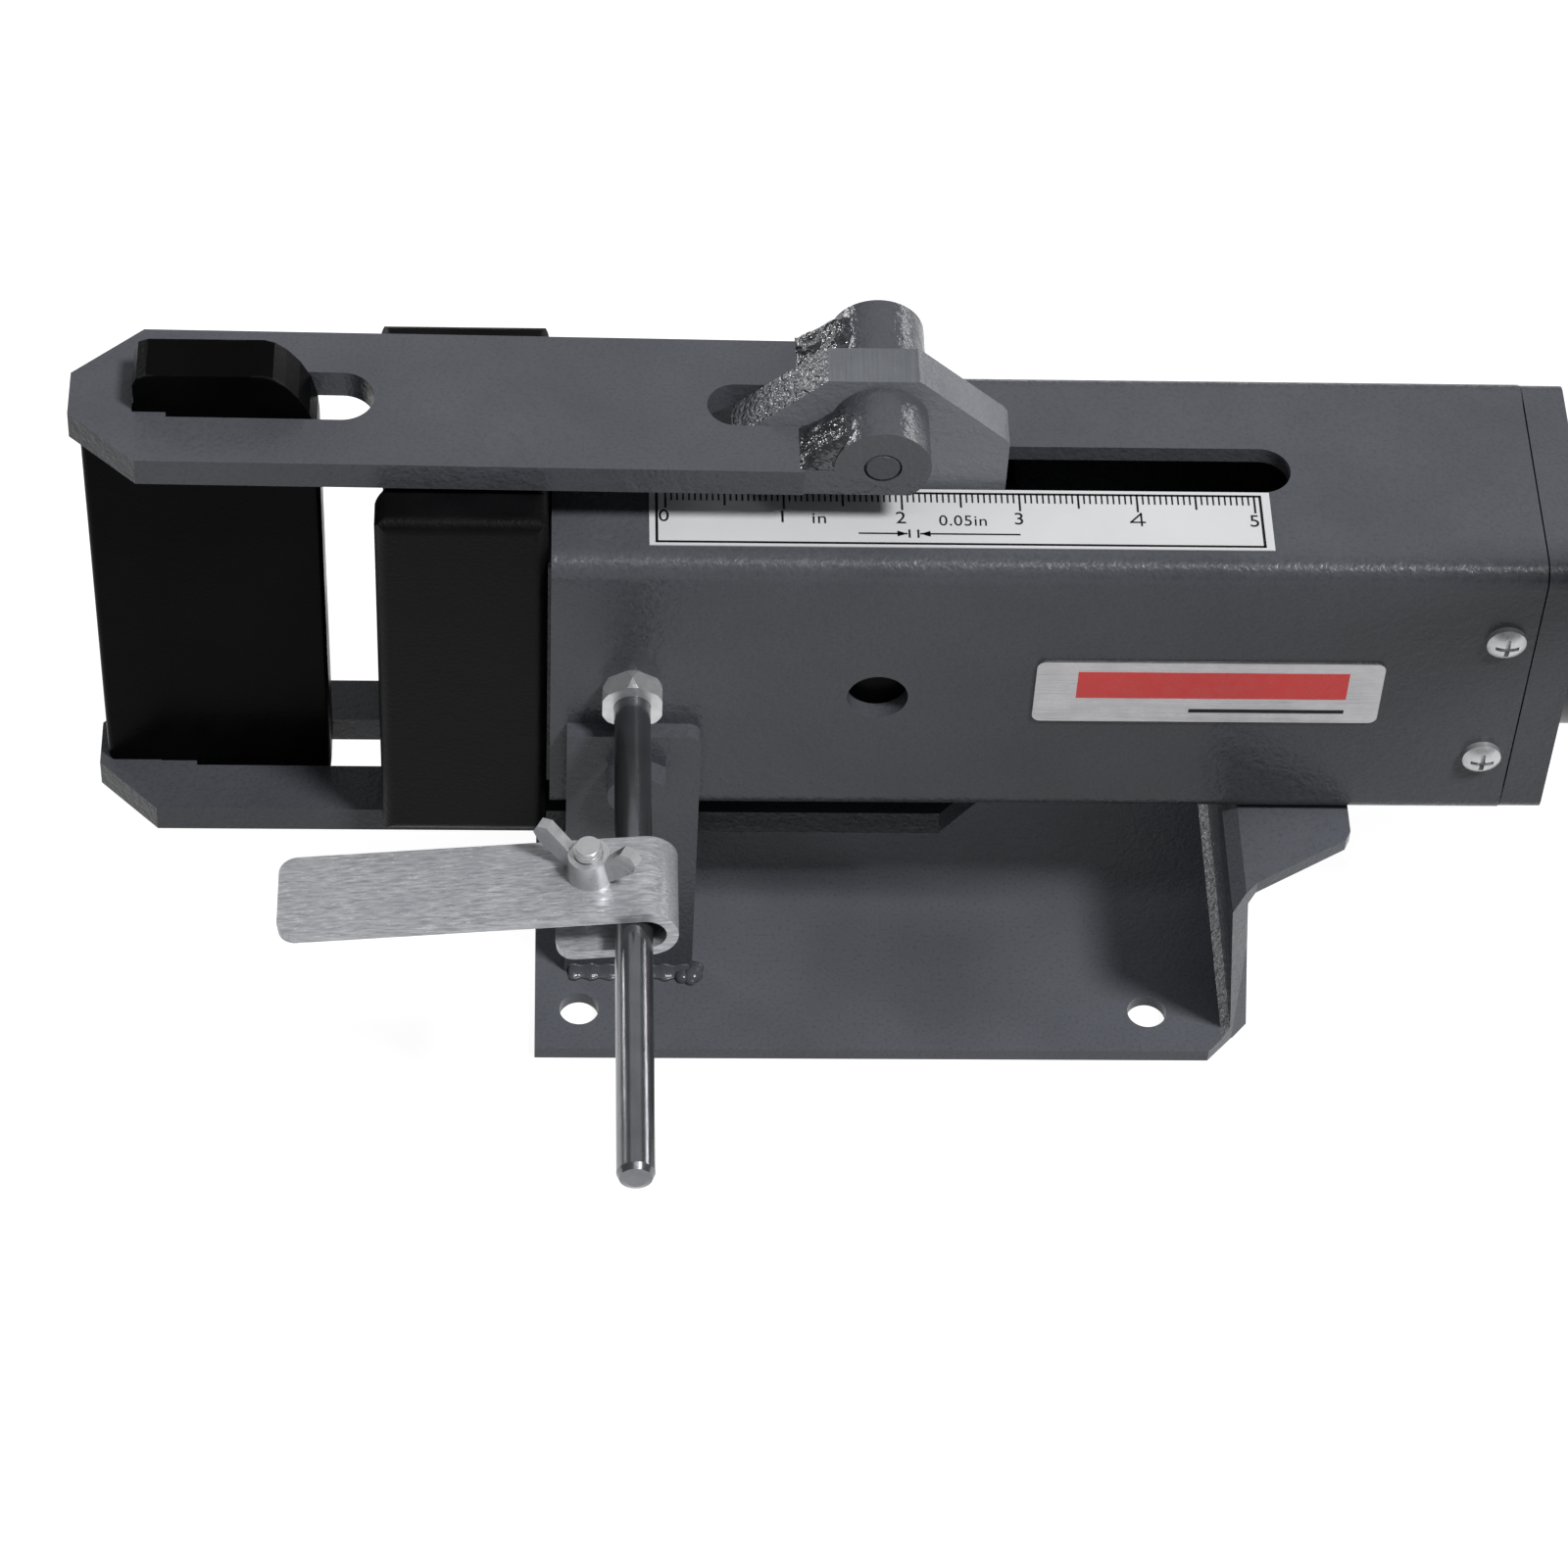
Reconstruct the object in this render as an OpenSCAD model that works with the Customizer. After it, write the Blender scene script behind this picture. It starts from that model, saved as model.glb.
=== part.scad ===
// Horizontal screw-driven strip bender: a square-tube body on a bolted base,
// a V die on the tube's end, and a punch blade pulled into it by two straps.
// Origin: centre of the four base bolts, on the underside of the base plate.
// +X runs from the die to the drive end, -Y is the operator's side, +Z is up.

/* [Tube body] */
// Left end of the tube, measured from the base bolt centre
tube_x0 = -72.65; // [-76:0.05:-70]
// Length of the tube
tube_len = 213.3; // [210:0.1:216]
// Width of the tube, front to back
tube_w = 60; // [58:0.5:62]
// Height of the tube
tube_h = 80; // [79:0.5:81]
// Wall thickness of the tube
wall = 4; // [3:0.1:4]
// Outside corner radius of the tube
tube_r = 5; // [4:0.5:6]
// Width of the top and bottom slots
slot_w = 13; // [12:0.1:14]
// Diameter of the access hole in the front wall
access_d = 13.4; // [10:0.1:15]

/* [Base] */
// Height of the tube's underside over the bench
tube_z0 = 57; // [57:0.5:60]
// Thickness of the bent base plate
base_t = 3.5; // [3:0.5:5]
// Depth of the base plate, front to back
base_w = 113; // [110:1:124]
// Hole pitch of the base along the tube
bolt_pitch_x = 131; // [129:0.5:133]
// Hole pitch of the base across the tube
bolt_pitch_y = 90; // [88:0.5:92]
// Diameter of the base bolt holes
bolt_hole_d = 9; // [8.5:0.5:11]

/* [Punch, die and straps] */
// Height of the die block
die_h = 101; // [100:0.5:101]
// Width of the die block, front to back
die_w = 61; // [56:0.5:62]
// Opening of the V groove
vee_w = 40; // [36:1:44]
// Thickness of the punch blade
punch_t = 11; // [10:0.5:11]
// Width of the punch blade along the tube
punch_w = 50.6; // [50:0.1:51]
// Width of the straps
strap_w = 39; // [38:0.5:40]
// Thickness of the straps
strap_t = 7; // [6.4:0.1:8]
// Radius of the hinge knuckles
knuckle_r = 10.3; // [10:0.1:10.4]
// Diameter of the hinge pin
pin_d = 8; // [6:0.5:9]

/* [Stop] */
// Diameter of the stop rod
rod_d = 8; // [7.6:0.1:8.2]
// Reach of the rod in front of the tube
rod_reach = 131.2; // [120:0.1:150]
// Width of the folded stop arm
arm_w = 21.2; // [18:0.1:23]
// Thickness of the stop arm's strip
arm_t = 2.5; // [2:0.1:2.8]

/* [Drive] */
// Diameter of the lead screw's thread
screw_d = 20; // [18:0.5:20]
// Pitch of the lead screw's thread
screw_pitch = 4; // [4:1:5]
// Diameter of the lever bar
lever_d = 16; // [14:0.5:17]
// Reach of the lever from the screw's axis
lever_reach = 380; // [300:5:450]
// Lean of the lever towards the operator at rest
lever_lean = 30; // [20:1:40]

/* [Hidden] */
$fn = 48;
eps = 0.01;
fit_gap = 0.05;
seam = 0.4;

tube_x1 = tube_x0 + tube_len;
tube_top = tube_z0 + tube_h;
axis_z = tube_z0 + tube_h / 2;
inner_w = tube_w - 2 * wall;
inner_h = tube_h - 2 * wall;
slot_x0 = -60.35;
slot_x1 = 87.45;
low_slot_x1 = 60;
access_x = -1.25;
access_z = axis_z - 1.3;

web_foot_x = 88.35;
web_lean = 6.2;
flange_x1 = 107.15;
base_x0 = -75.65;
bend_r = 3;

bracket_x0 = -68.95;
bracket_x1 = -39.5;
bracket_t = 4;
bracket_top = 86.4;
bracket_r = 3;
bracket_bolt = [-53.5, 72.5];
flange_bolt = [98, 16];

rod_x = -54.85;
arm_y = -87.4;
arm_left = 74.5;
arm_tail = 17;
arm_tilt = 6.1;
fold_x = 2.6;
fold_r = 4.3;
clamp_x = -8.3;
clamp_y = 1.7;
clamp_d = 6;

die_x0 = -110.15;
die_x1 = -73.35;
die_y = 2.5;
die_z0 = 46;
die_r = 3;
blade_y = 0.5;
plug_depth = 9;
die_bolt_depth = 10;

strap_x0 = -174.9;
low_strap_top = 43.7;
low_strap_x1 = 29.65;
strap_chamfer = 13.5;
top_chamfer_x = 14.8;
wide_slot_w = 14;
narrow_slot_w = punch_t + 0.4;
step_x = -154.25;
low_step_x = -152.95;
slot_end_x = -110.45;
low_slot_end_x = -104;
punch_x1 = -122.35;
punch_x0 = punch_x1 - punch_w;
tongue_x0 = -160.95;
tongue_rise = 19.1;
punch_top = 148.4;

pin_x = -2.95;
pin_z = tube_top + 19.4;
strap_drop = 8.1;
strap_tilt = 0.6;
knuckle_front = 19.1;
knuckle_rear = 21;
fork_x0 = -39.75;
fork_w = 12.2;
strap_end_x = -19.35;
lug_x0 = -34.35;
lug_x1 = 25.15;
lug_t = 10;
lug_top = tube_top + 31;
nut_x0 = -20;
nut_len = 50;
nut_h = 40;

cap_t = 9.1;
cap_x0 = tube_x1 + seam;
cap_x1 = cap_x0 + cap_t;
spigot_len = 15;
cap_screw_x = 134.15;
cap_screw_dz = 19;
shaft_d = 16;
race_t = 3;
ball_d = 4;
race_d = 38;
ball_circle_d = 28;
ball_count = 12;
housing_d = 56;
housing_x1 = cap_x1 + 14;
wheel_x0 = housing_x1 + 3;
wheel_len = 14;
wheel_tip_d = 42;
wheel_root_d = 33;
teeth = 12;
head_x0 = wheel_x0 - 2.4;
head_len = 20;
head_d = 62;
cavity_d = 46;
head_mid_x = wheel_x0 + wheel_len / 2;
cover_t = 3;
socket_d = 28;
socket_top = 62;
bar_z0 = 32;
grip_len = 115;
grip_d = 27;
pawl_d = 9;

// Hexagonal nut or bolt-head blank along +Z, across flats af
module hex_prism(af, h) {
    cylinder(d = af / cos(30), h = h, $fn = 6);
}

// Rectangle centred on the origin with round corners
module round_rect(l, w, r) {
    square([l - 2 * r, w], center = true);
    square([l, w - 2 * r], center = true);
    for (sx = [-1, 1], sy = [-1, 1])
        translate([sx * (l / 2 - r), sy * (w / 2 - r)])
            circle(r = r);
}

// Places children on the drive axis, with their +Z along +X from x
module along_x(x) {
    translate([x, 0, axis_z])
        rotate([0, 90, 0])
            children();
}

// Places children with their +Z pointing out of the front face at (x, z)
module out_front(x, y, z) {
    translate([x, y, z])
        rotate([90, 0, 0])
            children();
}

// Extrudes a side view, drawn in X and Z, over the width w about y = 0
module side_view(w) {
    translate([0, w / 2, 0])
        rotate([90, 0, 0])
            linear_extrude(w)
                children();
}

// Repeats children on the front and back of the tube
module both_sides() {
    children();
    mirror([0, 1, 0])
        children();
}

// Turns children into the lever's lean, about the drive axis
module leaning() {
    translate([0, 0, axis_z])
        rotate([lever_lean, 0, 0])
            children();
}

// Stadium-shaped slot cutter along X, from x0 to x1, w wide and h high
module slot_cut(x0, x1, w, h) {
    linear_extrude(h) {
        translate([x0 + w / 2, -w / 2])
            square([x1 - x0 - w, w]);
        for (x = [x0 + w / 2, x1 - w / 2])
            translate([x, 0])
                circle(d = w);
    }
}

// Plain M8 hex screw along +Z: head above z = 0, shank below
module hex_bolt(shank, af = 13, head_h = 5.3, d = 8) {
    intersection() {
        hex_prism(af, head_h);
        cylinder(r1 = af * 0.66, r2 = af * 0.5, h = head_h);
    }
    translate([0, 0, -shank])
        cylinder(d = d, h = shank + eps);
}

// Nut along +Z, a bored hexagon with its corners turned off
module hex_nut(af, h, bore) {
    difference() {
        intersection() {
            hex_prism(af, h);
            cylinder(r1 = af * 0.62, r2 = af * 0.53, h = h);
            cylinder(r1 = af * 0.53, r2 = af * 0.62, h = h);
        }
        translate([0, 0, -1])
            cylinder(d = bore, h = h + 2);
    }
}

// ---- base ----

module base_profile() {
    web_top = tube_z0;
    polygon([
        [base_x0, 0],
        [web_foot_x - bend_r, 0],
        [web_foot_x, bend_r],
        [web_foot_x - web_lean + 1, web_top - base_t - 1.5],
        [web_foot_x - web_lean + 2.5, web_top - base_t],
        [flange_x1, web_top - base_t],
        [flange_x1, web_top],
        [web_foot_x - web_lean, web_top],
        [web_foot_x - web_lean - 3, web_top - 3],
        [web_foot_x - base_t - 0.6, base_t + 1.5],
        [web_foot_x - base_t - 2.6, base_t],
        [base_x0, base_t]
    ]);
}

module base_outline() {
    half = base_w / 2;
    polygon([
        [base_x0, -half],
        [79, -half],
        [85, -50],
        [flange_x1 - 1.2, -37.5],
        [flange_x1, -35],
        [flange_x1, 35],
        [flange_x1 - 1.2, 37.5],
        [85, 50],
        [79, half],
        [base_x0, half]
    ]);
}

module base_bracket() {
    color([0.33, 0.34, 0.36])
        difference() {
            intersection() {
                side_view(base_w)
                    base_profile();
                translate([0, 0, -1])
                    linear_extrude(tube_z0 + 2)
                        base_outline();
            }
            for (sx = [-1, 1], sy = [-1, 1])
                translate([sx * bolt_pitch_x / 2, sy * bolt_pitch_y / 2, -1])
                    cylinder(d = bolt_hole_d, h = base_t + 2);
            for (sy = [-1, 1])
                translate([flange_bolt[0], sy * flange_bolt[1], tube_z0 - 10])
                    cylinder(d = 8.4, h = 12);
        }
}

module bracket_outline() {
    w = bracket_x1 - bracket_x0;
    h = bracket_top - base_t;
    translate([bracket_x0, base_t]) {
        square([w - bracket_r, h]);
        square([w, h - bracket_r]);
        translate([w - bracket_r, h - bracket_r])
            circle(r = bracket_r);
    }
}

// Upright plate welded to the base and bolted to the tube's side
module side_bracket() {
    difference() {
        translate([0, -tube_w / 2, 0])
            rotate([90, 0, 0])
                linear_extrude(bracket_t)
                    bracket_outline();
        out_front(bracket_bolt[0], -tube_w / 2 + 1, bracket_bolt[1])
            cylinder(d = 8.4, h = bracket_t + 2);
    }
}

module front_bracket() {
    color([0.32, 0.33, 0.35])
        side_bracket();
}

module rear_bracket() {
    color([0.32, 0.33, 0.35])
        mirror([0, 1, 0])
            side_bracket();
}

module bracket_welds() {
    leg = 3.2;
    y = -tube_w / 2 - bracket_t;
    color([0.36, 0.37, 0.39])
        both_sides()
            translate([bracket_x0 + 4, 0, 0])
                rotate([90, 0, 90])
                    linear_extrude(bracket_x1 - bracket_x0 - 2)
                        polygon([[y, base_t], [y - leg, base_t], [y, base_t + leg]]);
}

module bracket_bolts() {
    y = -tube_w / 2 - bracket_t;
    color([0.36, 0.37, 0.4])
        both_sides() {
            out_front(bracket_bolt[0], y, bracket_bolt[1])
                rotate(30)
                    hex_bolt(bracket_t + wall + 7);
            out_front(bracket_bolt[0], -tube_w / 2 + wall + 6.5, bracket_bolt[1])
                hex_nut(13, 6.5, 8);
        }
}

module flange_bolts() {
    color([0.55, 0.56, 0.58])
        for (sy = [-1, 1])
            translate([flange_bolt[0], sy * flange_bolt[1], 0]) {
                translate([0, 0, tube_z0 - base_t])
                    rotate([180, 0, 0])
                        hex_bolt(base_t + wall + 7);
                translate([0, 0, tube_z0 + wall])
                    hex_nut(13, 6.5, 8);
            }
}

// ---- tube and its fixed pieces ----

module tube_section(grow, h) {
    linear_extrude(h)
        round_rect(tube_h + grow, tube_w + grow, tube_r + grow / 2);
}

module tube_body() {
    color([0.33, 0.34, 0.36])
        difference() {
            along_x(tube_x0)
                tube_section(0, tube_len);
            along_x(tube_x0 - 1)
                linear_extrude(tube_len + 2)
                    round_rect(inner_h, inner_w, tube_r - wall);
            translate([0, 0, tube_top - wall - 1])
                slot_cut(slot_x0, slot_x1, slot_w, wall + 2);
            translate([0, 0, tube_z0 - 1])
                slot_cut(slot_x0, low_slot_x1, slot_w, wall + 2);
            out_front(access_x, -tube_w / 2 + wall + 1, access_z)
                cylinder(d = access_d, h = wall + 2);
            out_front(rod_x, -tube_w / 2 + wall + 1, axis_z)
                cylinder(d = rod_d + 2 * fit_gap, h = wall + 2);
            both_sides() {
                out_front(bracket_bolt[0], -tube_w / 2 + wall + 1, bracket_bolt[1])
                    cylinder(d = 8.4, h = wall + 2);
                for (dz = [-1, 1])
                    out_front(cap_screw_x, -tube_w / 2 + wall + 1,
                              axis_z + dz * cap_screw_dz)
                        cylinder(d = 5.4, h = wall + 2);
            }
            for (sy = [-1, 1])
                translate([flange_bolt[0], sy * flange_bolt[1], tube_z0 - 1])
                    cylinder(d = 8.4, h = wall + 2);
        }
}

module scale_label() {
    color("white")
        translate([-51.85, -23.8, tube_top])
            cube([133.9, 17, 0.25]);
}

module badge() {
    color([0.72, 0.73, 0.75])
        out_front(71.05, -tube_w / 2, 98.65)
            linear_extrude(0.6)
                round_rect(76.2, 19.3, 2);
}

module end_cap() {
    color([0.32, 0.33, 0.35])
        difference() {
            union() {
                along_x(cap_x0)
                    tube_section(-0.4, cap_t);
                along_x(cap_x0 - spigot_len)
                    linear_extrude(spigot_len + eps)
                        round_rect(inner_h - 0.6, inner_w - 0.6, 1);
            }
            along_x(cap_x0 - spigot_len - 1)
                cylinder(d = 22, h = spigot_len + cap_t + 2);
            both_sides()
                for (dz = [-1, 1])
                    out_front(cap_screw_x, -tube_w / 2 + wall + 14,
                              axis_z + dz * cap_screw_dz)
                        cylinder(d = 5, h = 14);
            for (a = [90, 210, 330])
                along_x(cap_x1 - 7)
                    rotate(a)
                        translate([24, 0, 0])
                            cylinder(d = 4, h = 8);
        }
}

// Pan-head screw along +Z with a cross recess: head above z = 0
module pan_screw(d, head_d, head_h, shank) {
    difference() {
        intersection() {
            cylinder(d = head_d, h = head_h);
            translate([0, 0, head_h - head_d * 0.75])
                sphere(d = head_d * 1.5);
        }
        for (a = [0, 90])
            rotate(a)
                translate([-head_d * 0.3, -head_d * 0.06, head_h * 0.4])
                    cube([head_d * 0.6, head_d * 0.12, head_h]);
    }
    translate([0, 0, -shank])
        cylinder(d = d, h = shank + eps);
}

module cap_screws() {
    color([0.78, 0.79, 0.8])
        both_sides()
            for (dz = [-1, 1])
                out_front(cap_screw_x, -tube_w / 2, axis_z + dz * cap_screw_dz)
                    pan_screw(5, 8.6, 3, 15);
}

module screw_bush() {
    color([0.72, 0.55, 0.3])
        along_x(cap_x0 - spigot_len)
            difference() {
                cylinder(d = 22, h = spigot_len + cap_t);
                translate([0, 0, -1])
                    cylinder(d = shaft_d + 2 * fit_gap, h = spigot_len + cap_t + 2);
            }
}

module bearing_housing() {
    cup = housing_x1 - cap_x1;
    color([0.1, 0.1, 0.11])
        along_x(cap_x1)
            difference() {
                cylinder(d = housing_d, h = cup);
                translate([0, 0, -1])
                    cylinder(d = race_d + 0.6, h = cup - 1);
                cylinder(d = 30, h = cup + 1);
                for (a = [90, 210, 330])
                    rotate(a)
                        translate([24, 0, -1])
                            cylinder(d = 4.2, h = cup + 2);
            }
}

module housing_screws() {
    color([0.2, 0.2, 0.21])
        for (a = [90, 210, 330])
            along_x(cap_x1 - 6)
                rotate(a)
                    translate([24, 0, 0])
                        cylinder(d = 4, h = housing_x1 - cap_x1 + 5.5);
}

module race(x) {
    along_x(x)
        difference() {
            cylinder(d = race_d, h = race_t);
            translate([0, 0, -1])
                cylinder(d = shaft_d + 0.4, h = race_t + 2);
        }
}

module race_fixed() {
    color([0.7, 0.71, 0.73])
        race(cap_x1);
}

module bearing_balls() {
    color([0.8, 0.81, 0.83])
        along_x(cap_x1 + race_t + ball_d / 2)
            for (i = [0:ball_count - 1])
                rotate(i * 360 / ball_count)
                    translate([ball_circle_d / 2, 0, 0])
                        sphere(d = ball_d - 0.1, $fn = 24);
}

module ball_cage() {
    color([0.72, 0.58, 0.32])
        along_x(cap_x1 + race_t + ball_d / 2 - 0.8)
            difference() {
                cylinder(d = race_d - 1, h = 1.6);
                translate([0, 0, -1])
                    cylinder(d = shaft_d + 2, h = 4);
                for (i = [0:ball_count - 1])
                    rotate(i * 360 / ball_count)
                        translate([ball_circle_d / 2, 0, -1])
                            cylinder(d = ball_d + 0.3, h = 4);
            }
}

module die_plug() {
    color([0.3, 0.31, 0.33])
        difference() {
            along_x(die_x1)
                linear_extrude(tube_x0 - die_x1 + plug_depth)
                    round_rect(inner_h - 0.6, inner_w - 0.6, 1);
            for (dz = [-1, 1])
                translate([die_x1 - 1, 0, axis_z + dz * 24])
                    rotate([0, 90, 0])
                        cylinder(d = 8.4, h = 20);
        }
}

module die_block() {
    l = die_x1 - die_x0;
    color([0.1, 0.1, 0.11])
        difference() {
            translate([die_x0 + l / 2, die_y, die_z0])
                intersection() {
                    linear_extrude(die_h)
                        round_rect(l, die_w, die_r);
                    translate([0, die_w / 2, die_h / 2])
                        rotate([90, 0, 0])
                            linear_extrude(die_w)
                                round_rect(l, die_h, die_r);
                    translate([-l / 2, 0, die_h / 2])
                        rotate([90, 0, 90])
                            linear_extrude(l)
                                round_rect(die_w, die_h, die_r);
                }
            translate([die_x0, blade_y, die_z0 - 1])
                linear_extrude(die_h + 2)
                    polygon([
                        [-1, -vee_w / 2 - 1],
                        [vee_w / 2, 0],
                        [-1, vee_w / 2 + 1]
                    ]);
            for (dz = [-1, 1])
                translate([die_x1 - die_bolt_depth - 1, 0, axis_z + dz * 24])
                    rotate([0, 90, 0])
                        cylinder(d = 8 + 2 * fit_gap, h = die_bolt_depth + 2);
        }
}

module die_bolts() {
    plug_x1 = tube_x0 + plug_depth;
    shank = plug_x1 - die_x1 + die_bolt_depth;
    color([0.2, 0.2, 0.21])
        for (dz = [-1, 1])
            translate([plug_x1, 0, axis_z + dz * 24])
                rotate([0, 90, 0])
                    difference() {
                        union() {
                            cylinder(d = 13, h = 4.8);
                            translate([0, 0, -shank])
                                cylinder(d = 8, h = shank + eps);
                        }
                        translate([0, 0, 1.8])
                            hex_prism(6, 4);
                    }
}

// ---- ram ----

module ram_nut() {
    color([0.45, 0.46, 0.48])
        difference() {
            translate([nut_x0, -inner_w / 2 + 0.4, axis_z - nut_h / 2])
                cube([nut_len, inner_w - 0.8, nut_h]);
            along_x(nut_x0 - 1)
                cylinder(d = screw_d + 2 * fit_gap, h = nut_len + 2);
        }
}

module ram_lug() {
    color([0.33, 0.34, 0.36])
        difference() {
            side_view(lug_t)
                polygon([
                    [lug_x0, axis_z + nut_h / 2],
                    [lug_x1, axis_z + nut_h / 2],
                    [lug_x1, tube_top + 12.5],
                    [lug_x1 - 1, tube_top + 14],
                    [5.65, lug_top - 0.5],
                    [4.8, lug_top],
                    [-14.4, lug_top],
                    [-15.2, lug_top - 0.5],
                    [lug_x0 + 1, tube_top + 14],
                    [lug_x0, tube_top + 12.5]
                ]);
            out_front(pin_x, lug_t, pin_z)
                cylinder(d = pin_d, h = 2 * lug_t);
        }
}

module lower_lug() {
    color([0.33, 0.34, 0.36])
        translate([lug_x0, -lug_t / 2, low_strap_top])
            cube([lug_x1 - lug_x0, lug_t, axis_z - nut_h / 2 - low_strap_top]);
}

// Fillet weld bead of triangular section along X
module bead(x0, x1, leg) {
    translate([x0, 0, 0])
        rotate([90, 0, 90])
            linear_extrude(x1 - x0)
                polygon([[0, 0], [-leg, 0], [0, leg]]);
}

module ram_welds() {
    leg = 4;
    color([0.36, 0.37, 0.39])
        both_sides() {
            translate([0, -lug_t / 2, low_strap_top])
                bead(lug_x0 + 2, 14, leg);
            translate([0, -lug_t / 2, axis_z + nut_h / 2])
                bead(nut_x0 + 2, lug_x1 - 2, leg);
            translate([0, -lug_t / 2, axis_z - nut_h / 2])
                mirror([0, 0, 1])
                    bead(nut_x0 + 2, lug_x1 - 2, leg);
        }
}

// Slot for the blade's tongue: narrow up to the step, then wide to the round end
module strap_slot(step, end) {
    translate([0, blade_y, -30])
        linear_extrude(60) {
            translate([step, -wide_slot_w / 2])
                square([end - wide_slot_w / 2 - step, wide_slot_w]);
            translate([end - wide_slot_w / 2, 0])
                circle(d = wide_slot_w);
            translate([tongue_x0 - 0.5, -narrow_slot_w / 2])
                square([step - tongue_x0 + 1, narrow_slot_w]);
        }
}

module bottom_strap() {
    half = strap_w / 2;
    c = strap_chamfer;
    color([0.3, 0.31, 0.33])
        difference() {
            translate([0, 0, low_strap_top - strap_t])
                linear_extrude(strap_t)
                    polygon([
                        [strap_x0, -half + c],
                        [strap_x0 + c, -half],
                        [low_strap_x1 - c, -half],
                        [low_strap_x1, -half + c],
                        [low_strap_x1, half - c],
                        [low_strap_x1 - c, half],
                        [strap_x0 + c, half],
                        [strap_x0, half - c]
                    ]);
            translate([0, 0, low_strap_top])
                strap_slot(low_step_x, low_slot_end_x);
        }
}

module hinge_pin() {
    length = knuckle_front + knuckle_rear;
    color([0.42, 0.43, 0.45])
        out_front(pin_x, knuckle_rear, pin_z)
            rotate_extrude()
                polygon([
                    [0, 0],
                    [pin_d / 2 - 0.6, 0],
                    [pin_d / 2, 0.6],
                    [pin_d / 2, length - 0.6],
                    [pin_d / 2 - 0.6, length],
                    [0, length]
                ]);
}

// Half outline of the blade: points run up the left side, over the tongue
// and down the right side, with h measured from the blade's middle
function blade_half(shoulder, tip) = [
    [punch_x0, 0],
    [punch_x0, shoulder - 1],
    [punch_x0 + 1, shoulder],
    [tongue_x0, shoulder],
    [tongue_x0, tip - 3],
    [tongue_x0 + 0.9, tip - 0.9],
    [tongue_x0 + 3, tip],
    [punch_x1 - 11.2, tip],
    [punch_x1 - 9, tip - 0.7],
    [punch_x1 - 6.5, tip - 2.7],
    [punch_x1 - 3.8, tip - 6.2],
    [punch_x1 - 1.6, tip - 10.8],
    [punch_x1 - 0.3, tip - 16],
    [punch_x1, shoulder],
    [punch_x1, 0]
];

module punch_blade() {
    mid = (punch_top + low_strap_top) / 2;
    shoulder = punch_top - mid;
    half = blade_half(shoulder, shoulder + tongue_rise);
    color([0.09, 0.09, 0.1])
        translate([0, blade_y, mid])
            intersection() {
                for (s = [0, 1])
                    mirror([0, 0, s])
                        side_view(punch_t)
                            polygon(half);
                translate([(punch_x0 + punch_x1) / 2, 0, -shoulder - 30])
                    linear_extrude(2 * shoulder + 60)
                        round_rect(punch_w, punch_t, 1.5);
            }
}

// ---- top strap ----

// Places children in the strap's own frame: origin on the pin, tilted up
module strap_frame() {
    translate([pin_x, 0, pin_z])
        rotate([0, strap_tilt, 0])
            translate([-pin_x, 0, 0])
                children();
}

module top_strap() {
    half = strap_w / 2;
    c = strap_chamfer;
    color([0.33, 0.34, 0.36])
        strap_frame()
            difference() {
                translate([0, 0, -strap_drop])
                    linear_extrude(strap_t)
                        polygon([
                            [strap_x0, -half + c],
                            [strap_x0 + top_chamfer_x, -half],
                            [strap_end_x, -half],
                            [strap_end_x, half],
                            [strap_x0 + top_chamfer_x, half],
                            [strap_x0, half - c]
                        ]);
                strap_slot(step_x, slot_end_x);
                translate([0, 0, -strap_drop - 1])
                    slot_cut(fork_x0, 10, fork_w, strap_t + 2);
            }
}

// Extrudes a side view of the hinge from y = -inner to the face at y = -outer
module knuckle_view(inner, outer) {
    out_front(pin_x, -inner, 0)
        linear_extrude(outer - inner)
            children();
}

module knuckle(outer) {
    foot_x = strap_end_x - pin_x;
    difference() {
        knuckle_view(lug_t / 2 + 0.35, outer) {
            intersection() {
                circle(r = knuckle_r, $fn = 96);
                translate([-knuckle_r - 1, -strap_drop])
                    square([2 * knuckle_r + 2, strap_drop + knuckle_r + 1]);
            }
            translate([foot_x, -strap_drop])
                square([-foot_x, strap_t]);
        }
        out_front(pin_x, 0, 0)
            cylinder(d = pin_d + 2 * fit_gap, h = 30);
    }
}

module strap_knuckles() {
    color([0.34, 0.35, 0.37])
        strap_frame() {
            knuckle(knuckle_front);
            mirror([0, 1, 0])
                knuckle(knuckle_rear);
        }
}

// Ramp of weld from the strap's top up to the knuckle's round
module knuckle_weld(outer) {
    foot = strap_t - strap_drop;
    knuckle_view(lug_t / 2 + 1.2, outer - 0.3)
        difference() {
            polygon([
                [-18.6, foot],
                [-17.2, 0.5],
                [-14.6, 2.4],
                [-11.4, 4.6],
                [-7.8, 6.5],
                [-4, foot]
            ]);
            circle(r = knuckle_r, $fn = 96);
        }
}

module knuckle_welds() {
    color([0.4, 0.41, 0.43])
        strap_frame() {
            knuckle_weld(knuckle_front);
            mirror([0, 1, 0])
                knuckle_weld(knuckle_rear);
        }
}

// ---- stop ----

module rod_boss_nut() {
    color([0.6, 0.61, 0.63])
        out_front(rod_x, -tube_w / 2 + wall + 6.5, axis_z)
            rotate(30)
                hex_nut(13, 6.5, rod_d + 2 * fit_gap);
}

module rod_jam_nut() {
    color([0.7, 0.71, 0.73])
        out_front(rod_x, -tube_w / 2, axis_z)
            rotate(30)
                hex_nut(13, 5, rod_d + 2 * fit_gap);
}

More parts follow.
